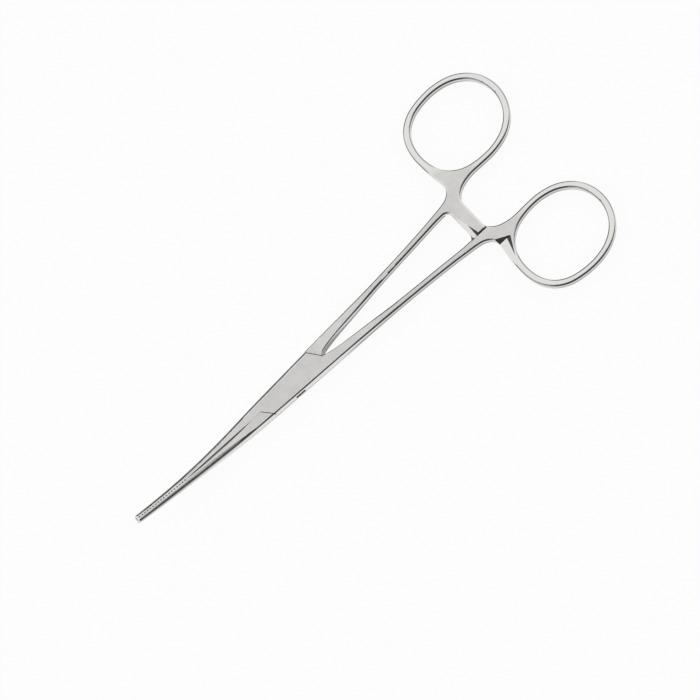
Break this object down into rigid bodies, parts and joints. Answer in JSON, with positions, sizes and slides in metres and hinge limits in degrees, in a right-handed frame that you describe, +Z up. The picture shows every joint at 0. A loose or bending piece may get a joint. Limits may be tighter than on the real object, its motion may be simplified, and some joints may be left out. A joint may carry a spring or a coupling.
{
  "type": "hemostat forceps",
  "caption": "Locking surgical clamp with finger rings, ratchet arms, a box lock hinge and slender upward-curved serrated jaws",
  "frame": {"origin": "on the pivot axis, at the underside of the box lock", "axes": "+X from the pivot to the finger rings, +Y to the side of the tongue half's ring, +Z up, the way the jaws curve"},
  "size_m": [0.1403, 0.0628, 0.0118],
  "materials": {
    "steel": "satin flats, polished rounded edges and rings",
    "pin_steel": "satin, ground flush with the lock"
  },
  "bodies": {
    "box_side": {"box_half": "steel", "pivot_pin": "pin_steel"},
    "tongue_side": {"tongue_half": "steel"}
  },
  "joints": [
    {"name": "box_lock_pivot", "type": "hinge", "parent": "box_side", "child": "tongue_side", "pos_m": [0, 0, 0.0022], "axis": [0, 0, 1], "range_deg": [0, 45]}
  ]
}
